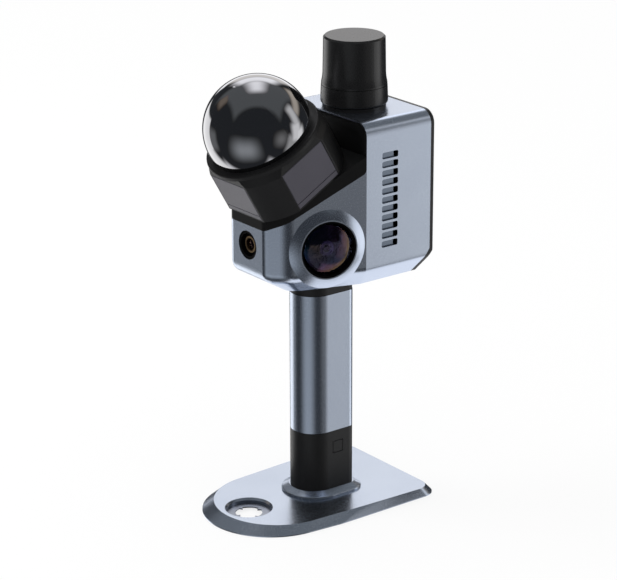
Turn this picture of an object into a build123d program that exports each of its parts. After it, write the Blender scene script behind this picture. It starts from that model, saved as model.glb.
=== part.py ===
from build123d import *
from math import acos, atan2, cos, hypot, pi, radians, sin, sqrt, tan
import os

# Hand-held mapping scanner: a metal head with a tilted lidar, three cameras and an antenna,
# on a D-shaped grip that stands on a base plate. Millimetres, +Z up, front towards -Y.
# The origin is on the floor, at the centre of the base plate.

# Clearances
slide_clear = 0.3
fit_clear = 0.1
shaft_clear = 0.04
seam_gap = 0.25

# Base plate and its rubber pad
plate_length = 136.0
plate_width = 88.0
plate_thick = 5.2
pad_thick = 1.0
pad_proud = 0.3
pad_inset = 2.5
plate_lip = 0.6
foot_nose_inset = 2.0
foot_shoulder_r = 28.0
foot_shoulder_y = -5.0
foot_corner_r = 10.0
top_nose_inset = 5.6
top_shoulder_r = 28.0
top_shoulder_y = 15.0
top_corner_r = 9.0
bevel_nose = 7.7
bevel_shoulder = 3.6
bevel_rear_side = 2.0
bevel_rear = 4.2

# Sighting hole and its ring of four points
sight_inset = 24.7
sight_r = 13.2
sight_chamfer = 1.2
sight_ledge = 1.8
ledge_thick = 0.6
target_thick = 0.8
target_band = 5.0
tooth_length = 1.8
tooth_width = 5.0

# Grip section, shared by the handle, the battery and the collar
grip_r = 14.2
grip_y = 5.7
grip_back = 21.0
grip_corner_r = 4.9
least_corner_r = 0.5
tube_wall = 1.8

# Flared collar on the base plate
collar_height = 3.7
collar_wall = 0.9
collar_spread = 5.4
collar_lip = 1.3
collar_round = 1.0
socket_floor = 3.0

# Battery
case_wall = 1.2
seam_z = 45.9
foot_height = 8.0
cell_r = 9.0
cell_length = 50.0
cell_count = 2
contact_board_thick = 1.6
sleeve_rim = 0.9

# Latch button on the battery's right flat
latch_y = 13.2
latch_z = 35.4
latch_size = 7.4
latch_proud = 0.1
latch_thick = 1.6
latch_travel = 1.0
latch_edge = 0.3
latch_clear = 0.2

# Base fasteners and tripod thread
bush_bore_r = 3.175
bush_wall = 1.8
bush_flange = 1.6
bush_flange_thick = 1.2
bush_height = 9.0
base_screw_r = 1.5
base_screw_head_r = 3.0
base_screw_length = 8.0
base_screw_at = 10.1

# Neck under the head, record button and status light
neck_height = 10.3
neck_step = 0.25
spigot_depth = 8.0
neck_wall = 3.2
neck_floor = 0.8
neck_room_x = 6.4
neck_room_y = 8.0
lead_y = 9.6
lead_r = 1.6
lead_hole_r = 3.0
button_rise = 5.2
button_r = 3.5
button_flange_r = 4.3
button_flange = 1.0
button_proud = 0.7
button_travel = 0.8
light_gap = 0.5
light_width = 0.8
light_depth = 0.9
switch_board = 1.2
switch_body = 4.4
switch_half = 3.0
switch_pin_r = 1.4
switch_spare = 0.2

# Battery contacts in the handle
contact_block_height = 6.0
pin_reach = 5.6
contact_pin_r = 0.8
contact_pin_x = 4.0
contact_pin_y = 4.0

# Head: outline at the belt line, outline of the sole, heights above the sole
head_half = 38.0
head_rear = 66.0
crease_y = 15.3
nose_r = 28.0
nose_y = -18.9
front_y = -42.0
front_corner_r = 5.0
nose_round = 16.0
sole_inset = 5.5
sole_nose_r = 23.0
sole_nose_y = -9.0
sole_front_y = -26.0
sole_nose_round = 9.0
belt_rise = 9.5
belt_round = 8.0
head_height = 97.5
head_wall = 2.5
crown_r = 8.0
rear_chamfer_rise = 12.8
rear_chamfer_angle = 35.5
cover_thick = 2.8
cover_edge = 0.5
span = 400.0

# Seat cut for the lidar cradle
seat_front_rise = 39.3
seat_angle = 27.2
seat_corner_r = 4.0
rabbet_lip = 0.8
rabbet_depth = 3.0
wall_extra = 3.0
wall_skirt = 4.0
recess_rim = 5.5
recess_depth = 3.0
recess_corner_r = 6.0
cradle_edge = 2.6
cable_hole_r = 8.0

# Lidar
lidar_y = -14.35
lidar_rise = 61.4
lidar_tilt = 30.0
lidar_side = 65.0
lidar_round_r = 36.6
lidar_corner_r = 2.5
lidar_height = 30.6
lidar_floor = 4.0
lidar_bore_r = 26.0
panel_width = 31.6
panel_low = 0.8
panel_high = 26.0
panel_thick = 1.4
panel_proud = 0.15
panel_edge = 0.3
panel_groove_low = 3.9
panel_groove = 0.5
lidar_ring_r = 35.2
lidar_ring_height = 2.9
lidar_ring_edge = 1.0
dome_r = 31.7
dome_wall = 2.0
dome_rise = 39.1
motor_r = 18.0
motor_height = 8.0
tower_r = 11.0
tower_height = 8.0
bearing_r = 8.0
bearing_height = 6.0
spindle_r = 4.0
spindle_depth = 11.0
hub_r = 21.0
hub_height = 3.5
hub_gap = 1.0
mirror_r = 15.0
mirror_height = 28.0
mirror_angle = 45.0
mirror_stem = 6.0
lidar_screw_at = 18.0
lidar_screw_seat = 3.6
lidar_screw_depth = 3.2

# Side cameras, on the tapered facets
camera_rise = 26.2
camera_back = 24.5
camera_r = 17.0
camera_depth = 18.0
camera_proud = 2.2
boss_r = 23.8
boss_root = 7.0
boss_sink = 0.15
boss_lip_r = 17.8
boss_height = 2.6
boss_swell = 0.12
lens_r = 15.9
lens_rise = 5.0
lens_wall = 2.0
lens_seat = 0.6
throat_r = 4.4
throat_depth = 2.2
inner_lens_rise = 1.2
inner_lens_thick = 2.5
retainer_r = 2.4
retainer_thick = 0.8
camera_board_half = 11.0
board_thick = 1.6

# Front camera
front_camera_rise = 27.1
front_camera_r = 8.5
front_camera_depth = 14.0
front_camera_inset = 0.4
front_bowl_r = 6.9
front_bowl_depth = 2.2
front_ring_r = 4.9
front_ring_width = 1.1
front_ring_proud = 0.7
front_lens_rise = 1.2
front_lens_thick = 2.0
front_board_half = 7.5

# Vents in both side walls
vent_count = 11
vent_pitch = 5.36
vent_top_rise = 76.6
vent_height = 3.9
vent_front_y = 26.8
vent_length = 11.8
vent_opening = 2.4
vent_corner_r = 1.1
vent_depth = 1.4

# Electronics in the rear of the head
board_margin = 13.0
board_low_rise = 12.5
board_high_rise = 90.5
standoff_r = 3.0
standoff_inset = 4.0
standoff_margin = 6.0
standoff_gap = 2.9
board_screw_r = 1.2
board_screw_head_r = 2.4
board_screw_head = 1.3
chip_half = 12.0
chip_thick = 2.0
chip_rise = 50.5
sink_margin = 16.0
sink_base = 3.0
sink_reach = 27.0
fin_count = 11
fin_pitch = 5.0
fin_thick = 1.5
fan_size = 30.0
fan_thick = 10.0
fan_gap = 4.5
fan_rim = 0.8
fan_tip_gap = 0.6
fan_hub_share = 0.2
fan_blades = 7
fan_blade_thick = 1.0
fan_blade_pitch = 35.0
fan_shaft_r = 1.0
fan_back = 1.6
fan_strut = 2.0
lead_rise = 16.0
lead_bend = 12.0

# Rear cover fasteners, seal and port
cover_screw_inset = 6.5
cover_screw_low_rise = 20.5
cover_screw_high_rise = 85.5
cover_screw_r = 1.5
cover_screw_head_r = 2.8
cover_boss_r = 4.0
cover_boss_length = 12.0
seal_thick = 1.5
seal_out = 1.2
seal_in = 0.6
port_rise = 34.5
port_width = 8.9
port_height = 3.2
port_wall = 0.4
port_tongue = 0.7
port_round_share = 0.9
pocket_half = 8.5
pocket_low = 5.5
pocket_high = 6.5
pocket_depth = 2.3
pocket_pad = 1.6
pocket_margin = 2.5
flap_thick = 1.6
knuckle_r = 0.95
hinge_pin_r = 0.5
hinge_drop = 1.3
pin_seat = 1.5

# Small fasteners
thread_clear = 0.05
socket_share = 0.8
neck_screw_r = 1.5
neck_screw_head_r = 2.7
neck_screw_head = 2.0
neck_screw_length = 10.0
neck_screw_x = 9.0
neck_screw_front_y = 3.0
neck_screw_rear_y = 18.0

# Antenna
antenna_y = 36.2
antenna_neck_r = 18.8
antenna_neck = 1.9
stub_r = 14.0
stub_height = 4.0
socket_spigot_r = 5.9
socket_spigot = 5.0
socket_bore_r = 3.0
plug_r = 1.6
plug_length = 9.0
ring_r = 19.95
ring_top_r = 19.5
ring_height = 10.9
ring_edge = 1.4
ring_lip = 4.4
flange_r = 16.5
flange_thick = 2.2
stem_r = 13.0
cap_foot_r = 19.4
cap_waist_r = 18.6
cap_waist_rise = 4.6
cap_waist_bend = 28.0
cap_top_r = 18.2
cap_height = 28.75
cap_wall = 1.6
cap_edge = 1.0
base_disc = 3.0
element_r = 11.0
element_bore_r = 8.0
element_height = 20.0
element_slots = 4
slot_width = 2.0
slot_length = 9.0
slot_slant = 35.0

# Heights and places that follow from the sizes above
foot_nose_r = plate_width / 2 - foot_nose_inset
top_nose_r = plate_width / 2 - top_nose_inset
plate_top = pad_proud + plate_thick
sight_y = sight_inset - plate_length / 2
collar_top = plate_top + collar_height
socket_z = pad_thick + socket_floor
cells_z = socket_z + foot_height
cells_top = cells_z + cell_count * cell_length
contact_z = cells_top + contact_board_thick
sleeve_top = contact_z + sleeve_rim
sleeve_inset = tube_wall + slide_clear
cavity_inset = sleeve_inset + case_wall
grip_rear = grip_y + grip_back
spigot_z = contact_z + pin_reach + contact_block_height
handle_top = spigot_z + spigot_depth
button_z = handle_top + button_rise
head_bottom = handle_top + neck_height
belt_z = head_bottom + belt_rise
head_top = head_bottom + head_height
rear_chamfer_z = head_bottom + rear_chamfer_rise
seat_front_z = head_bottom + seat_front_rise
lidar_z = head_bottom + lidar_rise
camera_z = head_bottom + camera_rise
front_camera_z = head_bottom + front_camera_rise
vent_top_z = head_bottom + vent_top_rise
board_low = head_bottom + board_low_rise
board_high = head_bottom + board_high_rise
chip_z = head_bottom + chip_rise
lead_z = head_bottom + lead_rise
cover_screw_low = head_bottom + cover_screw_low_rise
cover_screw_high = head_bottom + cover_screw_high_rise
port_z = head_bottom + port_rise
floor_z = head_bottom + head_wall
seat_crease_z = seat_front_z + (crease_y - front_y) * tan(radians(seat_angle))
cover_inner = head_rear - cover_thick
board_rear = cover_inner - standoff_gap
board_front = board_rear - board_thick
sink_back = board_front - chip_thick
sink_left = head_half - sink_margin
sink_right = head_half - head_wall - fan_gap - fan_thick
board_half = head_half - board_margin
standoff_x = board_half - standoff_inset
cover_screw_x = head_half - cover_screw_inset
sole_half = head_half - sole_inset
fan_bore_r = fan_size / 2 - fan_rim
fan_blade_r = fan_bore_r - fan_tip_gap
fan_hub_r = fan_hub_share * fan_size
fan_x = sink_right
fan_y = sink_back - sink_base - fan_size / 2
stub_z = head_top + antenna_neck
stub_top = stub_z + stub_height
ring_z = stub_z + slide_clear
ring_top = ring_z + ring_height
cap_z = ring_top + seam_gap

STAND = (Align.CENTER, Align.CENTER, Align.MIN)
LOW = (Align.MIN, Align.MIN, Align.MIN)


# Shared shapes

def prism(face, low, high):
    """An upright prism of a flat outline between two heights."""
    return extrude(Pos(0, 0, low) * face, high - low)


def drum(radius, low, high, x=0.0, y=0.0):
    """An upright cylinder between two heights."""
    return Pos(x, y, low) * Cylinder(radius, high - low, align=STAND)


def slab(x, y, z):
    """A box between two limits on each axis."""
    return Pos(x[0], y[0], z[0]) * Box(x[1] - x[0], y[1] - y[0], z[1] - z[0], align=LOW)


def rod(radius, start, end):
    """A cylinder from one point to another."""
    along = Vector(*end) - Vector(*start)
    return Plane(origin=start, z_dir=along) * Cylinder(radius, along.length, align=STAND)


def side_prism(points, half_width):
    """A prism of an outline in Y and Z, as wide on both sides of the middle."""
    return extrude(Plane.YZ * Polygon(*points, align=None), half_width, both=True)


def belt_around(*circles):
    """The outline of a belt drawn tight around circles, given in order from X to Y."""
    turns = []
    for index, (x, y, radius) in enumerate(circles):
        next_x, next_y, next_radius = circles[(index + 1) % len(circles)]
        reach = hypot(next_x - x, next_y - y)
        turns.append(atan2(next_y - y, next_x - x) - acos((radius - next_radius) / reach))
    edges = []
    for index, (x, y, radius) in enumerate(circles):
        start = turns[index - 1]
        end = start + (turns[index] - start) % (2 * pi)
        next_x, next_y, next_radius = circles[(index + 1) % len(circles)]
        turns_here = (start, (start + end) / 2, end)
        places = [(x + radius * cos(turn), y + radius * sin(turn)) for turn in turns_here]
        next_place = (next_x + next_radius * cos(end), next_y + next_radius * sin(end))
        edges += [ThreePointArc(*places).edge(), Line(places[2], next_place).edge()]
    return make_face(edges)


def both_sides(shape):
    """A shape and its mirror image across the middle."""
    return [shape, mirror(shape, about=Plane.YZ)]


def level_edges(shape, height):
    """The edges that lie at one height."""
    found = []
    for edge in shape.edges():
        box = edge.bounding_box()
        if max(abs(box.min.Z - height), abs(box.max.Z - height)) < fit_clear:
            found.append(edge)
    return found


def group(solids):
    """Separate solids that share one node."""
    return Compound(children=list(solids))


# Base plate

def foot_outline(inset=0.0):
    side = plate_width / 2 - inset
    back = plate_length / 2 - inset
    shoulder = foot_shoulder_r - inset
    corner = foot_corner_r - inset
    return belt_around(
        (0, foot_nose_r - plate_length / 2, foot_nose_r - inset),
        (side - shoulder, foot_shoulder_y, shoulder),
        (side - corner, back - corner, corner),
        (corner - side, back - corner, corner),
        (shoulder - side, foot_shoulder_y, shoulder),
    )


def top_outline():
    side = plate_width / 2 - bevel_shoulder - top_shoulder_r
    rear_x = plate_width / 2 - bevel_rear_side - top_corner_r
    rear_y = plate_length / 2 - bevel_rear - top_corner_r
    return belt_around(
        (0, top_nose_r + bevel_nose - plate_length / 2, top_nose_r),
        (side, top_shoulder_y, top_shoulder_r),
        (rear_x, rear_y, top_corner_r),
        (-rear_x, rear_y, top_corner_r),
        (-side, top_shoulder_y, top_shoulder_r),
    )


def grip_section(offset=0.0):
    """The D-shaped section of the grip, made larger or smaller all round."""
    side = grip_r + offset
    rear = grip_back + offset
    face = Pos(0, grip_y + rear / 2) * Rectangle(2 * side, rear)
    face = fillet(face.vertices().group_by(Axis.Y)[-1], max(grip_corner_r + offset, least_corner_r))
    return face + Pos(0, grip_y) * Circle(side)


def base_screw_places():
    return [(0, bush_y() - base_screw_at), (0, bush_y() + base_screw_at)]


def bush_y():
    return grip_y + (grip_back - grip_r) / 2


def collar():
    """A flared ring around the grip, with a rounded foot."""
    foot = plate_top + collar_lip
    spread = grip_section(collar_spread)
    flare = loft([Pos(0, 0, foot) * spread, Pos(0, 0, collar_top) * grip_section(collar_wall)], ruled=True)
    ring = prism(spread, pad_thick, foot) + flare
    return fillet(level_edges(ring, foot), collar_round)


def base_plate():
    lip_z = pad_proud + plate_lip
    plate = prism(foot_outline(), pad_proud, lip_z)
    plate += loft([Pos(0, 0, lip_z) * foot_outline(), Pos(0, 0, plate_top) * top_outline()], ruled=True)
    plate += collar()
    plate -= prism(foot_outline(pad_inset - fit_clear), pad_proud, pad_thick)
    plate -= prism(grip_section(fit_clear), socket_z, collar_top)
    ledge_z = pad_thick + ledge_thick
    plate -= drum(sight_r, ledge_z, plate_top, y=sight_y)
    plate -= drum(sight_r - sight_ledge, pad_thick, plate_top, y=sight_y)
    rim = Cone(sight_r, sight_r + sight_chamfer, sight_chamfer, align=STAND)
    plate -= Pos(0, sight_y, plate_top - sight_chamfer) * rim
    bush = bush_bore_r + bush_wall + thread_clear
    plate -= drum(bush, pad_thick, socket_z, y=bush_y())
    plate -= drum(bush + bush_flange, pad_thick, pad_thick + bush_flange_thick, y=bush_y())
    for x, y in base_screw_places():
        plate -= drum(base_screw_r + thread_clear, pad_thick, socket_z, x, y)
        sink = base_screw_head_r - base_screw_r
        plate -= Pos(x, y, pad_thick) * Cone(
            base_screw_head_r + thread_clear, base_screw_r + thread_clear, sink, align=STAND
        )
    return plate


def base_pad():
    pad = prism(foot_outline(pad_inset), 0, pad_thick)
    pad -= drum(sight_r - sight_ledge, 0, pad_thick, y=sight_y)
    pad -= drum(bush_bore_r + bush_wall + bush_flange, 0, pad_thick, y=bush_y())
    for x, y in base_screw_places():
        pad -= drum(base_screw_head_r, 0, pad_thick, x, y)
    return pad


def target_ring():
    low = pad_thick + ledge_thick
    outer = sight_r - fit_clear
    inner = outer - target_band
    ring = drum(outer, low, low + target_thick) - drum(inner, low, low + target_thick)
    root = inner + target_band / 2
    tip = inner - tooth_length
    tooth = Polygon((root, tooth_width / 2), (tip, 0), (root, -tooth_width / 2), align=None)
    for quarter in range(4):
        ring += Rot(0, 0, 90 * quarter) * prism(tooth, low, low + target_thick)
    return Pos(0, sight_y, 0) * ring


def tripod_bush():
    y = bush_y()
    outer = bush_bore_r + bush_wall
    bush = drum(outer, pad_thick, pad_thick + bush_height, y=y)
    bush += drum(outer + bush_flange, pad_thick, pad_thick + bush_flange_thick, y=y)
    return bush - drum(bush_bore_r, pad_thick, pad_thick + bush_height, y=y)


def base_screws():
    sink = base_screw_head_r - base_screw_r
    screws = []
    for x, y in base_screw_places():
        shank = drum(base_screw_r, pad_thick, pad_thick + base_screw_length, x, y)
        head = Pos(x, y, pad_thick) * Cone(base_screw_head_r, base_screw_r, sink, align=STAND)
        socket = Pos(x, y, pad_thick) * extrude(RegularPolygon(base_screw_r * socket_share, 6), sink)
        screws.append(shank + head - socket)
    return group(screws)


# Battery

def battery_case():
    case = prism(grip_section(), socket_z, seam_z)
    case += prism(grip_section(-sleeve_inset), seam_z, sleeve_top)
    case -= prism(grip_section(-cavity_inset), socket_z, sleeve_top)
    return case - latch_room()


def battery_foot():
    foot = prism(grip_section(-cavity_inset - fit_clear), socket_z, cells_z)
    foot -= drum(bush_bore_r + bush_wall + thread_clear, socket_z, pad_thick + bush_height, y=bush_y())
    for x, y in base_screw_places():
        foot -= drum(base_screw_r + thread_clear, socket_z, pad_thick + base_screw_length, x, y)
    return foot


def battery_cells():
    cells = []
    for index in range(cell_count):
        low = cells_z + index * cell_length
        cells.append(drum(cell_r, low, low + cell_length, y=grip_y))
    return group(cells)


def battery_contact_board():
    return prism(grip_section(-cavity_inset - fit_clear), cells_top, contact_z)


def latch_back():
    return grip_r + latch_proud - latch_thick


def latch_room():
    half = latch_size / 2 + latch_clear
    return slab(
        (latch_back() - latch_travel - latch_clear, grip_r + latch_proud),
        (latch_y - half, latch_y + half),
        (latch_z - half, latch_z + half),
    )


def latch_button():
    half = latch_size / 2
    button = slab(
        (latch_back(), grip_r + latch_proud),
        (latch_y - half, latch_y + half),
        (latch_z - half, latch_z + half),
    )
    return chamfer(button.faces().sort_by(Axis.X)[-1].edges(), latch_edge)


# Handle and neck

def handle_tube():
    return prism(grip_section(), seam_z + seam_gap, handle_top) - prism(
        grip_section(-tube_wall), seam_z, handle_top
    )


def neck_rear():
    return grip_rear - neck_step


def room_rear():
    return neck_rear() - neck_wall


def neck_screw_places():
    places = []
    for y in (neck_screw_front_y, neck_screw_rear_y):
        places += [(neck_screw_x, y), (-neck_screw_x, y)]
    return places


def handle_neck():
    neck = prism(grip_section(-neck_step), handle_top, head_bottom)
    neck += prism(grip_section(-tube_wall - fit_clear), spigot_z, handle_top)
    room = slab(
        (-neck_room_x, neck_room_x), (neck_room_y, room_rear()), (handle_top + neck_floor, head_bottom)
    )
    neck -= room
    neck -= drum(lead_hole_r, spigot_z, head_bottom, y=lead_y)
    neck -= rod(button_r + slide_clear, (0, room_rear(), button_z), (0, grip_rear, button_z))
    neck -= light_tube(thread_clear)
    for x, y in neck_screw_places():
        low = floor_z - neck_screw_length
        neck -= drum(neck_screw_r + thread_clear, low, head_bottom, x, y)
    return neck


def light_tube(grow=0.0):
    inner = button_r + slide_clear + light_gap
    start = (0, neck_rear() - light_depth, button_z)
    end = (0, neck_rear(), button_z)
    return rod(inner + light_width + grow, start, end) - rod(inner - grow, start, end)


def record_button():
    back = room_rear() - slide_clear
    stem = rod(button_r, (0, back, button_z), (0, neck_rear() + button_proud, button_z))
    stem = fillet(stem.edges().sort_by(Axis.Y)[-1], button_proud / 2)
    return stem + rod(button_flange_r, (0, back - button_flange, button_z), (0, back, button_z))


def record_switch():
    tip = room_rear() - slide_clear - button_flange - button_travel - switch_spare
    low = handle_top + neck_floor
    board_y = tip - switch_body - switch_board - switch_pin_r
    board = slab((-neck_room_x, neck_room_x), (board_y, board_y + switch_board), (low, head_bottom))
    front = board_y + switch_board
    body = slab(
        (-switch_half, switch_half),
        (front, front + switch_body),
        (button_z - switch_half, button_z + switch_half),
    )
    return board + body + rod(switch_pin_r, (0, front, button_z), (0, tip, button_z))


def contact_block():
    low = spigot_z - contact_block_height
    block = prism(grip_section(-tube_wall - slide_clear), low, spigot_z)
    block -= drum(lead_r + thread_clear, low + contact_block_height / 2, spigot_z, y=lead_y)
    for x, y in contact_places():
        block -= drum(contact_pin_r + thread_clear, low, low + contact_block_height / 2, x, y)
    return block


def contact_places():
    places = []
    for y in (grip_y - contact_pin_y, grip_y + contact_pin_y):
        places += [(contact_pin_x, y), (-contact_pin_x, y)]
    return places


def contact_pins():
    top = spigot_z - contact_block_height / 2
    return group([drum(contact_pin_r, contact_z + slide_clear, top, x, y) for x, y in contact_places()])


def neck_screws():
    screws = []
    for x, y in neck_screw_places():
        shank = drum(neck_screw_r, floor_z - neck_screw_length, floor_z, x, y)
        head = drum(neck_screw_head_r, floor_z, floor_z + neck_screw_head, x, y)
        socket = Pos(x, y, floor_z + neck_screw_head / 2) * extrude(
            RegularPolygon(neck_screw_r * socket_share, 6), neck_screw_head
        )
        screws.append(shank + head - socket)
    return group(screws)


# Head

def head_plan(half, radius, centre_y, front, bend_r):
    """The head seen from above: straight sides, tapered facets, bevelled nose with a flat front."""
    reach = hypot(half, crease_y - centre_y)
    turn = atan2(crease_y - centre_y, half) - acos(radius / reach)
    flat_half = sqrt(radius**2 - (front - centre_y) ** 2)
    # The bevel leaves the front flat at 45 degrees and meets the facet that touches the nose circle
    lean = cos(turn) + sin(turn)
    bevel = (radius - flat_half * cos(turn) - (front - centre_y) * sin(turn)) / lean
    bend = (flat_half + bevel, front + bevel)
    outline = Polyline(
        (flat_half, front),
        bend,
        (half, crease_y),
        (half, head_rear),
        (-half, head_rear),
        (-half, crease_y),
        (-bend[0], bend[1]),
        (-flat_half, front),
        close=True,
    )
    face = make_face(outline.edges())
    for height, rounding in ((front, front_corner_r), (bend[1], bend_r)):
        corners = [corner for corner in face.vertices() if abs(corner.Y - height) < fit_clear]
        face = fillet(corners, rounding)
    return face


def crown(inset, low=0.0):
    """The head seen from the front, with its rounded top corners, run right along Y."""
    high = head_top - inset
    face = Pos(0, (low + high) / 2) * Rectangle(2 * (head_half - inset), high - low)
    face = fillet(face.vertices().group_by(Axis.Y)[-1], crown_r - inset)
    return extrude(Plane.XZ * face, span, both=True)


def head_block(inset):
    """The head's outer form, drawn in all round by an inset."""
    belt = head_plan(head_half - inset, nose_r - inset, nose_y, front_y + inset, nose_round)
    sole = head_plan(
        sole_half - inset, sole_nose_r - inset, sole_nose_y, sole_front_y + inset, sole_nose_round
    )
    low = head_bottom + inset
    lower = loft([Pos(0, 0, low) * sole, Pos(0, 0, belt_z) * belt], ruled=True)
    return (lower + prism(belt, belt_z, head_top - inset)) & crown(inset)


def head_form():
    """The head's outer form, with its belt line rounded off."""
    block = head_block(0)
    belt = [edge for edge in level_edges(block, belt_z) if edge.center().Y < head_rear - fit_clear]
    return fillet(belt, belt_round)


def rear_trim(depth):
    """Everything in front of the head's back, drawn in by a depth."""
    lean = radians(rear_chamfer_angle)
    back = head_rear - depth
    corner_z = rear_chamfer_z + depth * tan(lean / 2)
    points = [(-span, 0), (back - corner_z * tan(lean), 0), (back, corner_z), (back, span), (-span, span)]
    return side_prism(points, span)


def seat_space():
    """The space in front of the rear box and above the sloped cut."""
    far = front_y - head_half
    far_z = seat_front_z + (far - front_y) * tan(radians(seat_angle))
    points = [(far, far_z), (crease_y, seat_crease_z), (crease_y, span), (far, span)]
    face = Polygon(*points, align=None)
    corner = face.vertices().sort_by_distance((crease_y, seat_crease_z, 0))[0]
    return extrude(Plane.YZ * fillet(corner, seat_corner_r), span, both=True)


def wall_plate(inset, depth_from, depth_to, low):
    """A slice of the rear box just behind its front edge."""
    return crown(inset, low) & slab(
        (-span, span), (crease_y + depth_from, crease_y + depth_to), (low, head_top)
    )


def camera_plane():
    """Middle of the right camera on its facet, looking out."""
    reach = hypot(head_half, crease_y - nose_y)
    turn = atan2(crease_y - nose_y, head_half) - acos(nose_r / reach)
    x = head_half + camera_back * sin(turn)
    y = crease_y - camera_back * cos(turn)
    return Plane(origin=(x, y, camera_z), x_dir=(0, 0, 1), z_dir=(cos(turn), sin(turn), 0))


def camera_drum(radius, low, high):
    return camera_plane() * Pos(0, 0, low) * Cylinder(radius, high - low, align=STAND)


def camera_cone(radius_low, radius_high, low, high):
    return camera_plane() * Pos(0, 0, low) * Cone(radius_low, radius_high, high - low, align=STAND)


def camera_boss():
    """A low cone around the camera, slightly swelled, that runs out into the facet."""
    crest = (boss_lip_r, boss_height)
    rim = (boss_r, -boss_sink)
    swell = ((crest[0] + rim[0]) / 2 + boss_swell, (crest[1] + rim[1]) / 2 + boss_swell)
    lines = [
        Line((0, -boss_root), (boss_r, -boss_root)),
        Line((boss_r, -boss_root), rim),
        ThreePointArc(rim, swell, crest),
        Line(crest, (0, boss_height)),
        Line((0, boss_height), (0, -boss_root)),
    ]
    profile = make_face([line.edge() for line in lines])
    return camera_plane() * revolve(Plane.XZ * profile, Axis.Z)


def front_drum(radius, depth_from, depth_to):
    """A cylinder on the front camera's axis, measured inwards from the front facet."""
    start = (0, front_y + depth_from, front_camera_z)
    return rod(radius, start, (0, front_y + depth_to, front_camera_z))


def vent_slot(rear, length, mid_z, depth):
    """A rounded slot in the right wall, ending at a rear edge."""
    face = Pos(rear - length / 2, mid_z) * RectangleRounded(length, vent_height, vent_corner_r)
    return Pos(head_half - depth, 0, 0) * extrude(Plane.YZ * face, depth)


def vents():
    """Louvres in the right wall: shallow recesses with an opening at the rear end."""
    rear = vent_front_y + vent_length
    cuts = []
    for index in range(vent_count):
        mid = vent_top_z - index * vent_pitch
        cuts.append(vent_slot(rear, vent_length, mid, vent_depth))
        cuts.append(vent_slot(rear, vent_opening, mid, 2 * head_wall))
    return cuts


def cover_screw_places():
    places = []
    for z in (cover_screw_low, cover_screw_high):
        places += [(cover_screw_x, z), (-cover_screw_x, z)]
    return places


def boss_end():
    return cover_inner - seal_thick


def head_shell():
    shell = head_form() & rear_trim(cover_thick)
    shell -= head_block(head_wall)
    shell += both_sides(camera_boss())
    shell -= seat_space()
    shell -= wall_plate(rabbet_lip, 0, rabbet_depth, seat_crease_z)
    shell -= both_sides(camera_drum(camera_r + fit_clear, -camera_depth, boss_height))
    shell -= front_drum(front_camera_r + fit_clear, -head_wall, front_camera_depth)
    for cut in vents():
        shell -= both_sides(cut)
    for x, z in cover_screw_places():
        side = 1 if x > 0 else -1
        start = boss_end() - cover_boss_length
        post = rod(cover_boss_r, (x, start, z), (x, boss_end(), z))
        wall = side * (head_half - head_wall / 2)
        rib = slab(
            (min(x, wall), max(x, wall)), (start, boss_end()), (z - cover_boss_r, z + cover_boss_r)
        )
        shell += [post, rib]
        shell -= rod(cover_screw_r + thread_clear, (x, start, z), (x, head_rear, z))
    groove = (head_block(head_wall - seal_out) & rear_trim(0)) - rear_trim(cover_thick + seal_thick)
    shell -= groove
    shell -= drum(lead_hole_r, head_bottom, floor_z, y=lead_y)
    for x, y in neck_screw_places():
        shell -= drum(neck_screw_r + thread_clear, head_bottom, floor_z, x, y)
    shell -= drum(socket_spigot_r + fit_clear, head_top - 2 * head_wall, head_top, y=antenna_y)
    return shell


def rear_cover():
    cover = (head_form() & rear_trim(0)) - rear_trim(cover_thick)
    back_edges = cover.faces().sort_by(Axis.Y)[-1].edges().sort_by(Axis.Z)
    cover = chamfer(back_edges[1:], cover_edge)
    low = port_z - pocket_low
    high = port_z + pocket_high
    pad_inner = head_rear - pocket_depth - pocket_pad
    for x, z in standoff_places():
        cover += rod(standoff_r, (x, board_rear, z), (x, cover_inner, z))
        cover -= rod(board_screw_r + thread_clear, (x, board_rear, z), (x, cover_inner, z))
    cover += slab(
        (-pocket_half - pocket_margin, pocket_half + pocket_margin),
        (pad_inner, cover_inner),
        (low - pocket_margin, high + pocket_margin),
    )
    cover -= slab((-pocket_half, pocket_half), (head_rear - pocket_depth, head_rear), (low, high))
    cover -= port_block(port_width / 2 + fit_clear, port_height / 2 + fit_clear, pad_inner, head_rear)
    hinge = hinge_at()
    cover -= rod(
        hinge_pin_r,
        (-pocket_half - pin_seat, hinge[0], hinge[1]),
        (pocket_half + pin_seat, hinge[0], hinge[1]),
    )
    for x, z in cover_screw_places():
        cover -= rod(cover_screw_r + thread_clear, (x, cover_inner, z), (x, head_rear, z))
        cover -= screw_cone(x, z, thread_clear)
    return cover


def standoff_places():
    places = []
    for z in (board_low + standoff_margin, board_high - standoff_margin):
        places += [(standoff_x, z), (-standoff_x, z)]
    return places


def screw_cone(x, z, grow=0.0):
    sink = cover_screw_head_r - cover_screw_r
    plane = Plane(origin=(x, head_rear - sink, z), z_dir=(0, 1, 0))
    return plane * Cone(cover_screw_r + grow, cover_screw_head_r + grow, sink, align=STAND)


def rear_seal():
    frame = head_block(head_wall - seal_out + fit_clear) - head_block(head_wall + seal_in)
    return (frame & rear_trim(cover_thick)) - rear_trim(cover_thick + seal_thick)


def rear_cover_screws():
    screws = []
    for x, z in cover_screw_places():
        screw = rod(cover_screw_r, (x, boss_end() - cover_boss_length / 2, z), (x, head_rear, z))
        plane = Plane(origin=(x, head_rear, z), z_dir=(0, -1, 0))
        socket = plane * extrude(RegularPolygon(cover_screw_r * socket_share, 6), cover_screw_r)
        screws.append(screw + screw_cone(x, z) - socket)
    return group(screws)


# Lidar and its cradle

def lidar_plane():
    lean = radians(lidar_tilt)
    return Plane(origin=(0, lidar_y, lidar_z), x_dir=(1, 0, 0), z_dir=(0, -sin(lean), cos(lean)))


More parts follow.
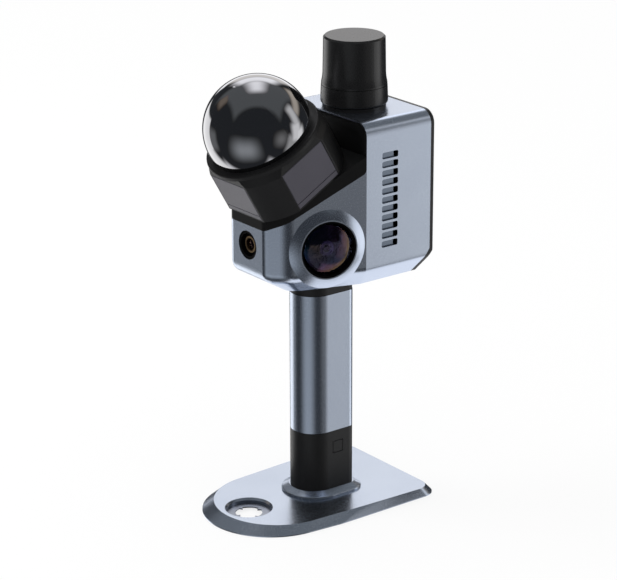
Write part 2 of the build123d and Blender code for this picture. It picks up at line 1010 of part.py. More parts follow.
def lidar_drum(radius, low, high, x=0.0, y=0.0):
    return lidar_plane() * Pos(x, y, low) * Cylinder(radius, high - low, align=STAND)


def lidar_box(x, y, z):
    return lidar_plane() * slab(x, y, z)


def lidar_screw_places():
    return [(x, y) for x in (-lidar_screw_at, lidar_screw_at) for y in (-lidar_screw_at, lidar_screw_at)]


def lidar_cradle():
    outer = head_form()
    below_foot = lidar_box((-span, span), (-span, span), (-span, 0))
    in_front = slab((-span, span), (-span, crease_y), (0, span))
    wedge = outer & seat_space() & below_foot & in_front
    wall = wall_plate(rabbet_lip + fit_clear, 0, rabbet_depth, seat_crease_z)
    front_edges = wall.faces().sort_by(Axis.Y)[0].edges().sort_by(Axis.Z)
    wall = fillet(front_edges[1:], cradle_edge)
    wall += wall_plate(head_wall + fit_clear, 0, rabbet_depth + wall_extra, seat_crease_z - wall_skirt)
    wall -= seat_sill()
    recess = Pos(0, (seat_crease_z + head_top) / 2) * RectangleRounded(
        2 * (head_half - recess_rim), head_top - seat_crease_z - 2 * recess_rim, recess_corner_r
    )
    wall -= Pos(0, crease_y + recess_depth, 0) * extrude(Plane.XZ * recess, recess_depth)
    cradle = wedge + wall
    cradle -= lidar_drum(cable_hole_r, -lidar_side, 0)
    for x, y in lidar_screw_places():
        cradle -= lidar_drum(neck_screw_r + thread_clear, -lidar_side, 0, x, y)
        cradle -= lidar_drum(neck_screw_head_r + fit_clear, -lidar_side, -lidar_screw_seat, x, y)
    return cradle


def seat_sill():
    """The rim of the shell under the cradle's wall, which the wall steps over."""
    return (head_form() - head_block(head_wall)) & slab(
        (-span, span), (-span, crease_y + rabbet_depth + wall_extra), (0, seat_crease_z)
    )


def lidar_base():
    section = Rectangle(lidar_side, lidar_side) & Circle(lidar_round_r)
    section = fillet(section.vertices(), lidar_corner_r)
    shoulder = Cone(lidar_round_r, lidar_ring_r, lidar_height - panel_high, align=STAND)
    trim = drum(lidar_round_r, 0, panel_high) + Pos(0, 0, panel_high) * shoulder
    body = lidar_plane() * (extrude(section, lidar_height) & trim)
    body -= lidar_drum(lidar_bore_r, lidar_floor, lidar_height)
    for solid in lidar_panel_solids(fit_clear):
        body -= solid
    for x, y in lidar_screw_places():
        body -= lidar_drum(neck_screw_r + thread_clear, 0, lidar_screw_depth, x, y)
    return body


def lidar_panel_solids(grow=0.0):
    half = lidar_side / 2
    width = panel_width / 2 + grow
    plate = slab(
        (half - panel_thick - grow, half + panel_proud),
        (-width, width),
        (panel_low - grow, panel_high + grow),
    )
    return [lidar_plane() * Rot(0, 0, 90 * quarter) * plate for quarter in range(4)]


def lidar_panels():
    half = lidar_side / 2
    width = panel_width / 2
    plate = slab((half - panel_thick, half + panel_proud), (-width, width), (panel_low, panel_high))
    plate = chamfer(plate.faces().sort_by(Axis.X)[-1].edges(), panel_edge)
    plate -= slab(
        (half + panel_proud - panel_groove, half + panel_proud),
        (-width, width),
        (panel_groove_low, panel_groove_low + panel_groove),
    )
    return group([lidar_plane() * Rot(0, 0, 90 * quarter) * plate for quarter in range(4)])


def lidar_ring():
    low = lidar_height
    high = low + lidar_ring_height
    ring = Pos(0, 0, low) * Cylinder(lidar_ring_r, lidar_ring_height, align=STAND)
    ring = fillet(ring.edges().sort_by(Axis.Z)[-1], lidar_ring_edge)
    ring -= drum(lidar_bore_r, low, high)
    return lidar_plane() * ring


def lidar_dome():
    low = lidar_height + lidar_ring_height
    room = drum(2 * dome_r, low, dome_rise + 2 * dome_r)
    ball = Pos(0, 0, dome_rise) * Sphere(dome_r)
    hollow = Pos(0, 0, dome_rise) * Sphere(dome_r - dome_wall)
    return lidar_plane() * ((ball - hollow) & room)


def lidar_motor():
    low = lidar_floor
    top = bearing_top()
    motor = drum(motor_r, low, low + motor_height) + drum(tower_r, low, top)
    motor -= drum(bearing_r, top - bearing_height, top)
    motor -= drum(spindle_r + slide_clear, top - spindle_depth, top)
    return lidar_plane() * motor


def bearing_top():
    return lidar_floor + motor_height + tower_height


def lidar_bearing():
    top = bearing_top()
    ring = drum(bearing_r, top - bearing_height, top)
    return lidar_plane() * (ring - drum(spindle_r + shaft_clear, top - bearing_height, top))


def lidar_spindle():
    top = bearing_top()
    low = top + hub_gap
    spindle = drum(spindle_r, top - spindle_depth + slide_clear, low)
    return lidar_plane() * (spindle + drum(hub_r, low, low + hub_height))


def lidar_mirror():
    low = bearing_top() + hub_gap + hub_height
    post = drum(mirror_r, low, low + mirror_height)
    cut = Pos(0, 0, low + mirror_stem + mirror_r) * Rot(0, mirror_angle, 0) * Box(
        span, span, span, align=STAND
    )
    return lidar_plane() * (post - cut)


def lidar_screws():
    screws = []
    for x, y in lidar_screw_places():
        shank = drum(neck_screw_r, -lidar_screw_seat, lidar_screw_depth, x, y)
        head = drum(neck_screw_head_r, -lidar_screw_seat - neck_screw_head, -lidar_screw_seat, x, y)
        socket = Pos(x, y, -lidar_screw_seat - neck_screw_head) * extrude(
            RegularPolygon(neck_screw_r * socket_share, 6), neck_screw_head / 2
        )
        screws.append(lidar_plane() * (shank + head - socket))
    return group(screws)


# Cameras

def camera_barrel():
    barrel = camera_drum(camera_r, -camera_depth, camera_proud)
    barrel -= camera_drum(lens_r + fit_clear, -lens_seat, camera_proud)
    barrel -= camera_cone(throat_r, lens_r - lens_wall, -throat_depth, -lens_seat)
    return barrel - camera_drum(throat_r, -throat_depth - inner_lens_thick, -throat_depth)


def camera_front_lens():
    radius = (lens_r**2 + lens_rise**2) / (2 * lens_rise)
    middle = lens_rise - radius
    cap = Pos(0, 0, middle) * Sphere(radius) - Pos(0, 0, middle) * Sphere(radius - lens_wall)
    cap &= drum(lens_r, 0, lens_rise)
    rim = drum(lens_r, -lens_seat, 0) - drum(lens_r - lens_wall, -lens_seat, 0)
    return camera_plane() * (cap + rim)


def camera_inner_lens():
    edge = retainer_r - fit_clear
    radius = (edge**2 + inner_lens_rise**2) / (2 * inner_lens_rise)
    room = drum(edge, 0, inner_lens_rise)
    cap = (Pos(0, 0, inner_lens_rise - radius) * Sphere(radius)) & room
    lens = cap + drum(throat_r, -inner_lens_thick, 0)
    return camera_plane() * Pos(0, 0, -throat_depth) * lens


def camera_retainer():
    ring = camera_drum(throat_r, -throat_depth, retainer_thick - throat_depth)
    return ring - camera_drum(retainer_r, -throat_depth, retainer_thick - throat_depth)


def camera_board():
    half = camera_board_half
    low = -camera_depth - board_thick
    return camera_plane() * slab((-half, half), (-half, half), (low, -camera_depth))


def front_camera_barrel():
    barrel = front_drum(front_camera_r, front_camera_inset, front_camera_depth)
    bowl_end = front_camera_inset + front_bowl_depth
    barrel -= front_drum(front_bowl_r, front_camera_inset, bowl_end)
    return barrel - front_drum(front_ring_r, bowl_end, bowl_end + front_lens_thick)


def front_camera_ring():
    end = front_camera_inset + front_bowl_depth + front_lens_thick
    start = front_camera_inset + front_bowl_depth - front_ring_proud
    inner = front_ring_r - front_ring_width
    return front_drum(front_ring_r, start, end) - front_drum(inner, start, end)


def front_camera_lens():
    radius_in = front_ring_r - front_ring_width
    end = front_camera_inset + front_bowl_depth + front_lens_thick
    radius = (radius_in**2 + front_lens_rise**2) / (2 * front_lens_rise)
    room = drum(radius_in, 0, front_lens_rise)
    lens = ((Pos(0, 0, front_lens_rise - radius) * Sphere(radius)) & room) + drum(
        radius_in, front_lens_rise - front_lens_thick, 0
    )
    plane = Plane(origin=(0, front_y + end, front_camera_z), z_dir=(0, -1, 0))
    return plane * Pos(0, 0, front_lens_thick - front_lens_rise) * lens


def front_camera_board():
    start = front_y + front_camera_depth
    half = front_board_half
    z = front_camera_z
    return slab((-half, half), (start, start + board_thick), (z - half, z + half))


# Electronics

def main_board():
    board = slab((-board_half, board_half), (board_front, board_rear), (board_low, board_high))
    chip = (chip_z - chip_half, chip_z + chip_half)
    board += slab((-chip_half, chip_half), (sink_back, board_front), chip)
    for x, z in standoff_places():
        board -= rod(board_screw_r + thread_clear, (x, board_front, z), (x, board_rear, z))
    return board


def board_screws():
    screws = []
    for x, z in standoff_places():
        shank = rod(board_screw_r, (x, board_front, z), (x, cover_inner - cover_thick / 2, z))
        head = rod(board_screw_head_r, (x, board_front - board_screw_head, z), (x, board_front, z))
        screws.append(shank + head)
    return group(screws)


def heat_sink():
    height = (fin_count - 1) * fin_pitch + fin_thick
    low = chip_z - height / 2
    front = sink_back - sink_base
    sink = slab((-sink_left, sink_right), (front, sink_back), (low, low + height))
    for index in range(fin_count):
        z = low + index * fin_pitch
        sink += slab((-sink_left, sink_right), (sink_reach, front), (z, z + fin_thick))
    return sink


def fan_plane():
    return Plane(origin=(fan_x, fan_y, chip_z), z_dir=(1, 0, 0))


def fan_frame():
    frame = Box(fan_size, fan_size, fan_thick, align=STAND)
    frame -= drum(fan_bore_r, fan_back, fan_thick)
    open_ring = drum(fan_bore_r, 0, fan_back) - drum(fan_hub_r, 0, fan_back)
    bars = Box(fan_size, fan_strut, fan_back, align=STAND)
    bars += Box(fan_strut, fan_size, fan_back, align=STAND)
    frame -= open_ring - bars
    frame -= drum(fan_shaft_r + shaft_clear, 0, fan_back)
    return fan_plane() * frame


def fan_rotor():
    low = fan_back + slide_clear
    high = fan_thick - slide_clear
    rotor = drum(fan_hub_r, low, high) + drum(fan_shaft_r, 0, low)
    middle = (low + high) / 2
    blade_half = (high - low) / 2
    for index in range(fan_blades):
        reach = fan_blade_r - fan_hub_r / 2
        blade = Pos((fan_hub_r / 2 + fan_blade_r) / 2, 0, 0) * Rot(fan_blade_pitch, 0, 0) * Box(
            reach, fan_blade_thick, 2 * blade_half
        )
        rotor += Pos(0, 0, middle) * Rot(0, 0, 360 * index / fan_blades) * blade
    rotor &= drum(fan_blade_r, 0, high)
    return fan_plane() * rotor


def power_lead():
    low = spigot_z - contact_block_height / 2
    corners = [(0, lead_y, low), (0, lead_y, lead_z), (0, board_front, lead_z)]
    path = FilletPolyline(*corners, radius=lead_bend)
    section = Plane(origin=(0, lead_y, low), z_dir=(0, 0, 1)) * Circle(lead_r)
    return sweep(section, path=path)


# Port and its flap

def port_block(half_width, half_height, start, end):
    face = Pos(0, port_z) * RectangleRounded(2 * half_width, 2 * half_height, half_height * port_round_share)
    return Pos(0, end, 0) * extrude(Plane.XZ * face, end - start)


def usb_port():
    end = head_rear - pocket_depth
    port = port_block(port_width / 2, port_height / 2, board_rear, end)
    half_width = port_width / 2 - port_wall
    port -= port_block(half_width, port_height / 2 - port_wall, board_rear + port_wall, end)
    tongue = half_width - 2 * port_wall
    thick = (port_z - port_tongue / 2, port_z + port_tongue / 2)
    return port + slab((-tongue, tongue), (board_rear, end - port_wall), thick)


def hinge_at():
    return head_rear - pocket_depth / 2, port_z + pocket_high - hinge_drop


def flap_hinge_pin():
    y, z = hinge_at()
    return rod(hinge_pin_r, (-pocket_half - pin_seat, y, z), (pocket_half + pin_seat, y, z))


def port_flap():
    y, z = hinge_at()
    half = pocket_half - slide_clear
    thick = (y - flap_thick / 2, y + flap_thick / 2)
    flap = slab((-half, half), thick, (port_z - pocket_low + slide_clear, z))
    flap += rod(knuckle_r, (-half, y, z), (half, y, z))
    return flap - rod(hinge_pin_r + shaft_clear, (-half, y, z), (half, y, z))


# Antenna

def antenna_drum(radius, low, high):
    return drum(radius, low, high, y=antenna_y)


def antenna_socket():
    socket = antenna_drum(antenna_neck_r, head_top, stub_z) + antenna_drum(stub_r, stub_z, stub_top)
    socket += antenna_drum(socket_spigot_r, head_top - socket_spigot, head_top)
    return socket - antenna_drum(socket_bore_r, head_top - socket_spigot, stub_top)


def antenna_lock_ring():
    ring = Pos(0, antenna_y, ring_z) * Cone(ring_r, ring_top_r, ring_height, align=STAND)
    ring = fillet(ring.edges().group_by(Axis.Z)[0], ring_edge)
    lip_z = ring_top - ring_lip
    ring -= antenna_drum(stub_r + slide_clear, ring_z, stub_top)
    ring -= antenna_drum(flange_r + slide_clear, stub_top, lip_z)
    return ring - antenna_drum(stem_r + slide_clear, lip_z, ring_top)


def antenna_base():
    low = stub_top + slide_clear
    disc_z = cap_z + base_disc
    base = antenna_drum(flange_r, low, low + flange_thick)
    base += antenna_drum(stem_r, low, cap_z)
    base += antenna_drum(cap_waist_r - cap_wall - fit_clear, cap_z, disc_z)
    return base + antenna_drum(plug_r, low - plug_length, low)


def antenna_element():
    low = cap_z + base_disc
    element = antenna_drum(element_r, low, low + element_height)
    element -= antenna_drum(element_bore_r, low, low + element_height)
    middle = low + element_height / 2
    slot = Pos(element_r, 0, 0) * Rot(slot_slant, 0, 0) * Box(element_bore_r, slot_width, slot_length)
    for index in range(element_slots):
        element -= Pos(0, antenna_y, middle) * Rot(0, 0, 360 * index / element_slots) * slot
    return element


def antenna_cap():
    top = cap_height
    outer = Polygon(
        (0, 0),
        (cap_foot_r, 0),
        (cap_foot_r, cap_edge),
        (cap_waist_r, cap_waist_rise),
        (cap_top_r, top - cap_edge),
        (cap_top_r - cap_edge, top),
        (0, top),
        align=None,
    )
    waist = outer.vertices().sort_by_distance((cap_waist_r, cap_waist_rise, 0))[0]
    outer = fillet(waist, cap_waist_bend)
    cap = revolve(Plane.XZ * outer, Axis.Z)
    cap -= drum(cap_top_r - cap_wall - cap_edge, 0, top - cap_wall)
    cap -= drum(cap_waist_r - cap_wall, 0, base_disc)
    return Pos(0, antenna_y, cap_z) * cap


# All pieces, one file each

pieces = {}
pieces["base_plate"] = base_plate()
pieces["base_pad"] = base_pad()
pieces["target_ring"] = target_ring()
pieces["tripod_bush"] = tripod_bush()
pieces["base_screws"] = base_screws()
pieces["battery_case"] = battery_case()
pieces["battery_foot"] = battery_foot()
pieces["battery_cells"] = battery_cells()
pieces["battery_contact_board"] = battery_contact_board()
pieces["latch_button"] = latch_button()
pieces["handle_tube"] = handle_tube()
pieces["handle_neck"] = handle_neck()
pieces["record_button"] = record_button()
pieces["record_switch"] = record_switch()
pieces["status_light"] = light_tube()
pieces["contact_block"] = contact_block()
pieces["contact_pins"] = contact_pins()
pieces["neck_screws"] = neck_screws()
pieces["head_shell"] = head_shell()
pieces["rear_cover"] = rear_cover()
pieces["rear_seal"] = rear_seal()
pieces["rear_cover_screws"] = rear_cover_screws()
pieces["lidar_cradle"] = lidar_cradle()
pieces["lidar_base"] = lidar_base()
pieces["lidar_panels"] = lidar_panels()
pieces["lidar_ring"] = lidar_ring()
pieces["lidar_dome"] = lidar_dome()
pieces["lidar_motor"] = lidar_motor()
pieces["lidar_bearing"] = lidar_bearing()
pieces["lidar_spindle"] = lidar_spindle()
pieces["lidar_mirror"] = lidar_mirror()
pieces["lidar_screws"] = lidar_screws()
for name, maker in (
    ("camera_barrel", camera_barrel),
    ("camera_front_lens", camera_front_lens),
    ("camera_inner_lens", camera_inner_lens),
    ("camera_retainer", camera_retainer),
    ("camera_board", camera_board),
):
    right, left = both_sides(maker())
    pieces["right_" + name] = right
    pieces["left_" + name] = left
pieces["front_camera_barrel"] = front_camera_barrel()
pieces["front_camera_ring"] = front_camera_ring()
pieces["front_camera_lens"] = front_camera_lens()
pieces["front_camera_board"] = front_camera_board()
pieces["main_board"] = main_board()
pieces["board_screws"] = board_screws()
pieces["heat_sink"] = heat_sink()
pieces["fan_frame"] = fan_frame()
pieces["fan_rotor"] = fan_rotor()
pieces["power_lead"] = power_lead()
pieces["usb_port"] = usb_port()
pieces["port_flap"] = port_flap()
pieces["flap_hinge_pin"] = flap_hinge_pin()
pieces["antenna_socket"] = antenna_socket()
pieces["antenna_lock_ring"] = antenna_lock_ring()
pieces["antenna_base"] = antenna_base()
pieces["antenna_element"] = antenna_element()
pieces["antenna_cap"] = antenna_cap()

os.makedirs("parts", exist_ok=True)
for name, shape in pieces.items():
    export_step(shape, f"parts/{name}.step")
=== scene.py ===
import math
import bpy
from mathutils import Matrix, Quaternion, Vector

# Hand-held mapping scanner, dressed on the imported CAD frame. Metres, +Z up, front towards -Y.

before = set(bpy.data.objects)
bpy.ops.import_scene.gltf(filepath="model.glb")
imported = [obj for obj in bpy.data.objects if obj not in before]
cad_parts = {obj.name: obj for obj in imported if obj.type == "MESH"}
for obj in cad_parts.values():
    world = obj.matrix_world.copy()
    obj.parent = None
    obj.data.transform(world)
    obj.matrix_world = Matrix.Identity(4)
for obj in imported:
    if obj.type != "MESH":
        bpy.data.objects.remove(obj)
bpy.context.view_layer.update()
scene = bpy.context.scene
scene.view_settings.view_transform = "Standard"
MM = 0.001


def srgb(code):
    """An sRGB hex colour as linear RGBA."""
    parts = [int(code[i:i + 2], 16) / 255 for i in (1, 3, 5)]
    return [c / 12.92 if c <= 0.04045 else ((c + 0.055) / 1.055) ** 2.4 for c in parts] + [1.0]


def node(tree, kind, inputs=None, stops=None, **settings):
    """Adds one node with its settings, and sets or links its inputs; a ramp also gets its stops."""
    made = tree.nodes.new(kind)
    for name, value in settings.items():
        setattr(made, name, value)
    for name, value in (inputs or {}).items():
        if isinstance(value, bpy.types.NodeSocket):
            tree.links.new(value, made.inputs[name])
        else:
            made.inputs[name].default_value = value
    for index, (place, colour) in enumerate(stops or []):
        band = made.color_ramp.elements
        stop = band[index] if index < len(band) else band.new(place)
        stop.position = place
        stop.color = colour
    return made


def grey(level):
    return (level, level, level, 1.0)


# Camera, solved from the photograph's perspective for an image of 617 by 580

LOOK_AZIMUTH = 52.535
LOOK_DOWN = 19.491
ROLL = -0.174
FOCAL_PIXELS = 2523.77
IMAGE_WIDTH = 617
SENSOR = 36.0
CAMERA_PLACE = (1.11714, -0.85398, 0.63165)
NEAREST = 0.05
FARTHEST = 50.0


def set_camera():
    turn = math.radians(LOOK_AZIMUTH)
    down = math.radians(LOOK_DOWN)
    back = Vector((math.sin(turn) * math.cos(down), -math.cos(turn) * math.cos(down), math.sin(down)))
    data = bpy.data.cameras.new("photo_camera")
    data.sensor_width = SENSOR
    data.lens = FOCAL_PIXELS * SENSOR / IMAGE_WIDTH
    data.clip_start = NEAREST
    data.clip_end = FARTHEST
    camera = bpy.data.objects.new("photo_camera", data)
    scene.collection.objects.link(camera)
    camera.location = CAMERA_PLACE
    camera.rotation_mode = "QUATERNION"
    level = (-back).to_track_quat("-Z", "Y")
    camera.rotation_quaternion = level @ Quaternion((0, 0, 1), math.radians(ROLL))
    scene.camera = camera


# Studio, as the metal and the dome mirror it: a white cove behind, a tall softbox on the left, a strip
# on the right, soft fills in front and at the sides, and a dim ceiling. Matt surfaces get plain light.
# A ray whose count of glints is under FIRST_GLINT has had none.

PLAIN_LIGHT = 0.9
FIRST_GLINT = 0.5
STUDIO_DARK = (0.034, 0.037, 0.042)
SOFTBOXES = [
    # azimuth from +X towards +Y, elevation, roll, half width, half height, soft edge, strength, tint
    ("cove_behind", 142, 17, 0, 16, 10, 8, 0.95, (1.03, 1.0, 0.97)),
    ("cove_low", 142, 9, 0, 22, 3, 4, 1.3, (1.0, 1.0, 1.03)),
    ("backdrop_glow", 145, 39, 0, 14, 4, 13, 1.6, (1.0, 1.0, 1.03)),
    ("backdrop_high", 147, 64, 0, 1, 8, 21, 1.6, (1.0, 1.0, 1.03)),
    ("cove_under", 108, -64, 0, 34, 30, 12, 1.15, (1.0, 1.0, 1.03)),
    ("cove_right", 40, -20, 0, 5, 8, 14, 0.62, (1.0, 1.0, 1.0)),
    ("left_softbox", 188, -14, 0, 15, 14, 5, 1.4, (1.0, 1.0, 1.0)),
    ("left_softbox_foot", 187, -44, 0, 10, 16, 14, 1.4, (1.0, 1.0, 1.0)),
    ("left_fill", 216, -18, 0, 5, 6, 14, 0.24, (0.97, 1.0, 1.03)),
    ("right_strip", 51, -4, 0, 5, 8, 14, 1.25, (1.0, 1.0, 1.0)),
    ("right_strip_low", 60, -14, 0, 4, 8, 12, 1.4, (1.0, 1.0, 1.0)),
    ("right_strip_high", 54, 15, 0, 2, 16, 13, 1.0, (1.0, 1.0, 1.0)),
    ("right_strip_branch", 84, 26, 12, 16, 2, 10, 0.7, (1.0, 0.9, 0.78)),
    ("front_fill", -64, -30, 0, 6, 0, 38, 0.5, (0.95, 1.0, 1.05)),
    ("side_fill", 13, -10, 0, 0, 0, 25, 0.3, (1.0, 1.0, 1.0)),
    ("ceiling", 142, 84, 0, 42, 28, 16, 0.17, (0.94, 1.0, 1.04)),
    ("ceiling_left", 206, 32, 0, 3, 4, 13, 0.22, (1.2, 1.0, 0.82)),
]


def softbox_glow(tree, look, place, size, soft):
    """One inside a softbox seen along a direction, fading to nought past its edges."""
    azimuth, rise, roll = place
    turned = node(
        tree,
        "ShaderNodeMapping",
        {"Vector": look, "Rotation": [math.radians(turn) for turn in (roll, -rise, azimuth)]},
        vector_type="TEXTURE",
    )
    axes = node(tree, "ShaderNodeSeparateXYZ", {"Vector": turned.outputs["Vector"]})
    glow = node(tree, "ShaderNodeMath", {0: axes.outputs["X"], 1: 0.0}, operation="GREATER_THAN")
    for axis, half in (("Y", size[0]), ("Z", size[1])):
        away = node(tree, "ShaderNodeMath", {0: axes.outputs[axis]}, operation="ABSOLUTE")
        fade = node(
            tree,
            "ShaderNodeMapRange",
            {
                "Value": away.outputs["Value"],
                "From Min": math.sin(math.radians(half)),
                "From Max": math.sin(math.radians(half + soft)),
                "To Min": 1.0,
                "To Max": 0.0,
            },
            interpolation_type="SMOOTHSTEP",
        )
        glow = node(
            tree,
            "ShaderNodeMath",
            {0: glow.outputs["Value"], 1: fade.outputs["Result"]},
            operation="MULTIPLY",
        )
    return glow.outputs["Value"]


def set_world():
    world = bpy.data.worlds.new("studio")
    scene.world = world
    world.use_nodes = True
    tree = world.node_tree
    tree.nodes.clear()
    look = node(tree, "ShaderNodeTexCoord").outputs["Generated"]
    total = STUDIO_DARK
    for name, azimuth, rise, roll, wide, high, soft, strength, tint in SOFTBOXES:
        glow = softbox_glow(tree, look, (azimuth, rise, roll), (wide, high), soft)
        colour = [strength * part for part in tint]
        light = node(
            tree, "ShaderNodeVectorMath", {0: colour, "Scale": glow}, operation="SCALE", label=name
        ).outputs["Vector"]
        total = node(
            tree, "ShaderNodeVectorMath", {0: light, 1: total}, operation="MAXIMUM"
        ).outputs["Vector"]
    rays = node(tree, "ShaderNodeLightPath")
    studio = node(tree, "ShaderNodeBackground", {"Color": total, "Strength": 1.0})
    plain = node(tree, "ShaderNodeBackground", {"Color": grey(1.0), "Strength": PLAIN_LIGHT})
    white = node(tree, "ShaderNodeBackground", {"Color": grey(1.0), "Strength": 1.0})
    # A ray that only passed through glass sees the white backdrop, and a glint inside the glass
    # sees the studio
    direct = node(
        tree,
        "ShaderNodeMath",
        {0: rays.outputs["Glossy Depth"], 1: FIRST_GLINT},
        operation="LESS_THAN",
    )
    through = node(
        tree,
        "ShaderNodeMath",
        {0: rays.outputs["Is Transmission Ray"], 1: direct.outputs["Value"]},
        operation="MULTIPLY",
    )
    seen = node(
        tree,
        "ShaderNodeMath",
        {0: rays.outputs["Is Camera Ray"], 1: through.outputs["Value"]},
        operation="MAXIMUM",
    )
    mirrored = node(
        tree,
        "ShaderNodeMixShader",
        {
            0: rays.outputs["Is Glossy Ray"],
            1: plain.outputs["Background"],
            2: studio.outputs["Background"],
        },
    )
    mixed = node(
        tree,
        "ShaderNodeMixShader",
        {0: seen.outputs["Value"], 1: mirrored.outputs["Shader"], 2: white.outputs["Background"]},
    )
    node(tree, "ShaderNodeOutputWorld", {"Surface": mixed.outputs["Shader"]})


KEY_PLACE = Vector((-0.9, -0.9, 1.3))
KEY_TARGET = Vector((0, 0, 0.15))
KEY_SIZE = 0.8
KEY_POWER = 6.0


def set_key_lamp():
    """A weak soft lamp, high on the left, that gives the object its shadow on the floor."""
    data = bpy.data.lights.new("key_lamp", "AREA")
    data.shape = "SQUARE"
    data.size = KEY_SIZE
    data.energy = KEY_POWER
    lamp = bpy.data.objects.new("key_lamp", data)
    scene.collection.objects.link(lamp)
    lamp.location = KEY_PLACE
    lamp.rotation_mode = "QUATERNION"
    lamp.rotation_quaternion = (KEY_TARGET - KEY_PLACE).to_track_quat("-Z", "Y")
    lamp.visible_glossy = False


FLOOR_SIZE = 20.0
FLOOR_GLOW = 0.78


def set_floor():
    bpy.ops.object.select_all(action="DESELECT")
    bpy.ops.mesh.primitive_plane_add(size=FLOOR_SIZE, location=(0, 0, 0))
    floor = bpy.context.object
    floor.name = "floor"
    material = bpy.data.materials.new("matt_white_paper")
    material.use_nodes = True
    tree = material.node_tree
    tree.nodes.clear()
    # Seen straight on it is nearly self-lit white, and keeps a faint shadow of the object
    paper = node(tree, "ShaderNodeBsdfDiffuse", {"Color": grey(1.0)})
    white = node(tree, "ShaderNodeEmission", {"Color": grey(1.0), "Strength": 1.0})
    rays = node(tree, "ShaderNodeLightPath")
    part = node(
        tree,
        "ShaderNodeMath",
        {0: rays.outputs["Is Camera Ray"], 1: FLOOR_GLOW},
        operation="MULTIPLY",
    )
    seen = node(
        tree,
        "ShaderNodeMixShader",
        {0: part.outputs["Value"], 1: paper.outputs["BSDF"], 2: white.outputs["Emission"]},
    )
    node(tree, "ShaderNodeOutputMaterial", {"Surface": seen.outputs["Shader"]})
    floor.data.materials.append(material)
    floor.visible_glossy = False


# Materials

def start_material(name):
    """A new material with an empty tree: returns the material and its tree."""
    material = bpy.data.materials.new(name)
    material.use_nodes = True
    material.node_tree.nodes.clear()
    return material, material.node_tree


NOISE_DETAIL = 2.0
NOISE_SPREAD = (0.3, 0.7)
RELIEF_STRENGTH = 0.3


def grained(name, dark, light, rough, grain_mm, relief_mm, cloud_mm=40.0, recess_shade=None, **extra):
    """A moulded or blasted finish: soft colour clouds, fine grain in the roughness and the relief, and
    painted shade over the louvre recesses when a recess colour is given.

    The grain is drawn about three times coarser than the real grit, to show at this picture's size.
    """
    material, tree = start_material(name)
    place = node(tree, "ShaderNodeTexCoord").outputs["Object"]
    cloud = node(
        tree,
        "ShaderNodeTexNoise",
        {"Vector": place, "Scale": 1 / (cloud_mm * MM), "Detail": NOISE_DETAIL},
    )
    grain = node(
        tree,
        "ShaderNodeTexNoise",
        {"Vector": place, "Scale": 1 / (grain_mm * MM), "Detail": NOISE_DETAIL},
    )
    colour = node(
        tree,
        "ShaderNodeValToRGB",
        {"Fac": cloud.outputs["Fac"]},
        stops=[(NOISE_SPREAD[0], srgb(dark)), (NOISE_SPREAD[1], srgb(light))],
    ).outputs["Color"]
    # Painted shade: the louvre recesses get a darker colour that stands in for their shadow
    if recess_shade:
        colour = node(
            tree,
            "ShaderNodeMix",
            {"Factor": painted_shade_mask(tree, place), "A": colour, "B": srgb(recess_shade)},
            data_type="RGBA",
        ).outputs[2]
    gloss = node(
        tree,
        "ShaderNodeMapRange",
        {
            "Value": grain.outputs["Fac"],
            "From Min": NOISE_SPREAD[0],
            "From Max": NOISE_SPREAD[1],
            "To Min": rough[0],
            "To Max": rough[1],
        },
    )
    relief = node(
        tree,
        "ShaderNodeBump",
        {
            "Height": grain.outputs["Fac"],
            "Strength": RELIEF_STRENGTH,
            "Distance": relief_mm * MM,
        },
    )
    inputs = {
        "Base Color": colour,
        "Roughness": gloss.outputs["Result"],
        "Normal": relief.outputs["Normal"],
    }
    inputs.update(extra)
    surface = node(tree, "ShaderNodeBsdfPrincipled", inputs)
    node(tree, "ShaderNodeOutputMaterial", {"Surface": surface.outputs["BSDF"]})
    return material


# Where the louvres' painted shade goes, in millimetres: inside this half width, and within a middle and
# a half size
RECESS_X = 37.85
RECESS_Y = (32.7, 6.1)
RECESS_Z = (193.3, 31.0)


def painted_shade_mask(tree, place):
    """One inside the louvre recesses of the side walls, where their shade is painted, and nought
    elsewhere.
    """
    axes = node(tree, "ShaderNodeSeparateXYZ", {"Vector": place})
    side = node(tree, "ShaderNodeMath", {0: axes.outputs["X"]}, operation="ABSOLUTE")
    mask = node(
        tree, "ShaderNodeMath", {0: side.outputs["Value"], 1: RECESS_X * MM}, operation="LESS_THAN"
    )
    for axis, (middle, half) in (("Y", RECESS_Y), ("Z", RECESS_Z)):
        within = node(
            tree,
            "ShaderNodeMath",
            {0: axes.outputs[axis], 1: middle * MM, 2: half * MM},
            operation="COMPARE",
        )
        mask = node(
            tree,
            "ShaderNodeMath",
            {0: mask.outputs["Value"], 1: within.outputs["Value"]},
            operation="MULTIPLY",
        )
    return mask.outputs["Value"]


# Lens glass: the film's thickness changes between two places along Y, in millimetres
FILM_Y = (-22.0, 6.0)
FILM_IOR = 1.38
GLASS_IOR = 1.52
GLASS_ROUGHNESS = 0.01
GLASS_SPECULAR = 0.35


def coated_glass(name, tint, film_nm):
    """Lens glass whose anti-reflection film thins towards the back: its glint turns blue to amber."""
    material, tree = start_material(name)
    place = node(tree, "ShaderNodeTexCoord").outputs["Object"]
    axes = node(tree, "ShaderNodeSeparateXYZ", {"Vector": place})
    film = node(
        tree,
        "ShaderNodeMapRange",
        {
            "Value": axes.outputs["Y"],
            "From Min": FILM_Y[0] * MM,
            "From Max": FILM_Y[1] * MM,
            "To Min": film_nm[0],
            "To Max": film_nm[1],
        },
    )
    surface = node(
        tree,
        "ShaderNodeBsdfPrincipled",
        {
            "Base Color": srgb(tint),
            "Roughness": GLASS_ROUGHNESS,
            "IOR": GLASS_IOR,
            "Specular IOR Level": GLASS_SPECULAR,
            "Transmission Weight": 1.0,
            "Thin Film Thickness": film.outputs["Result"],
            "Thin Film IOR": FILM_IOR,
        },
    )
    node(tree, "ShaderNodeOutputMaterial", {"Surface": surface.outputs["BSDF"]})
    return material


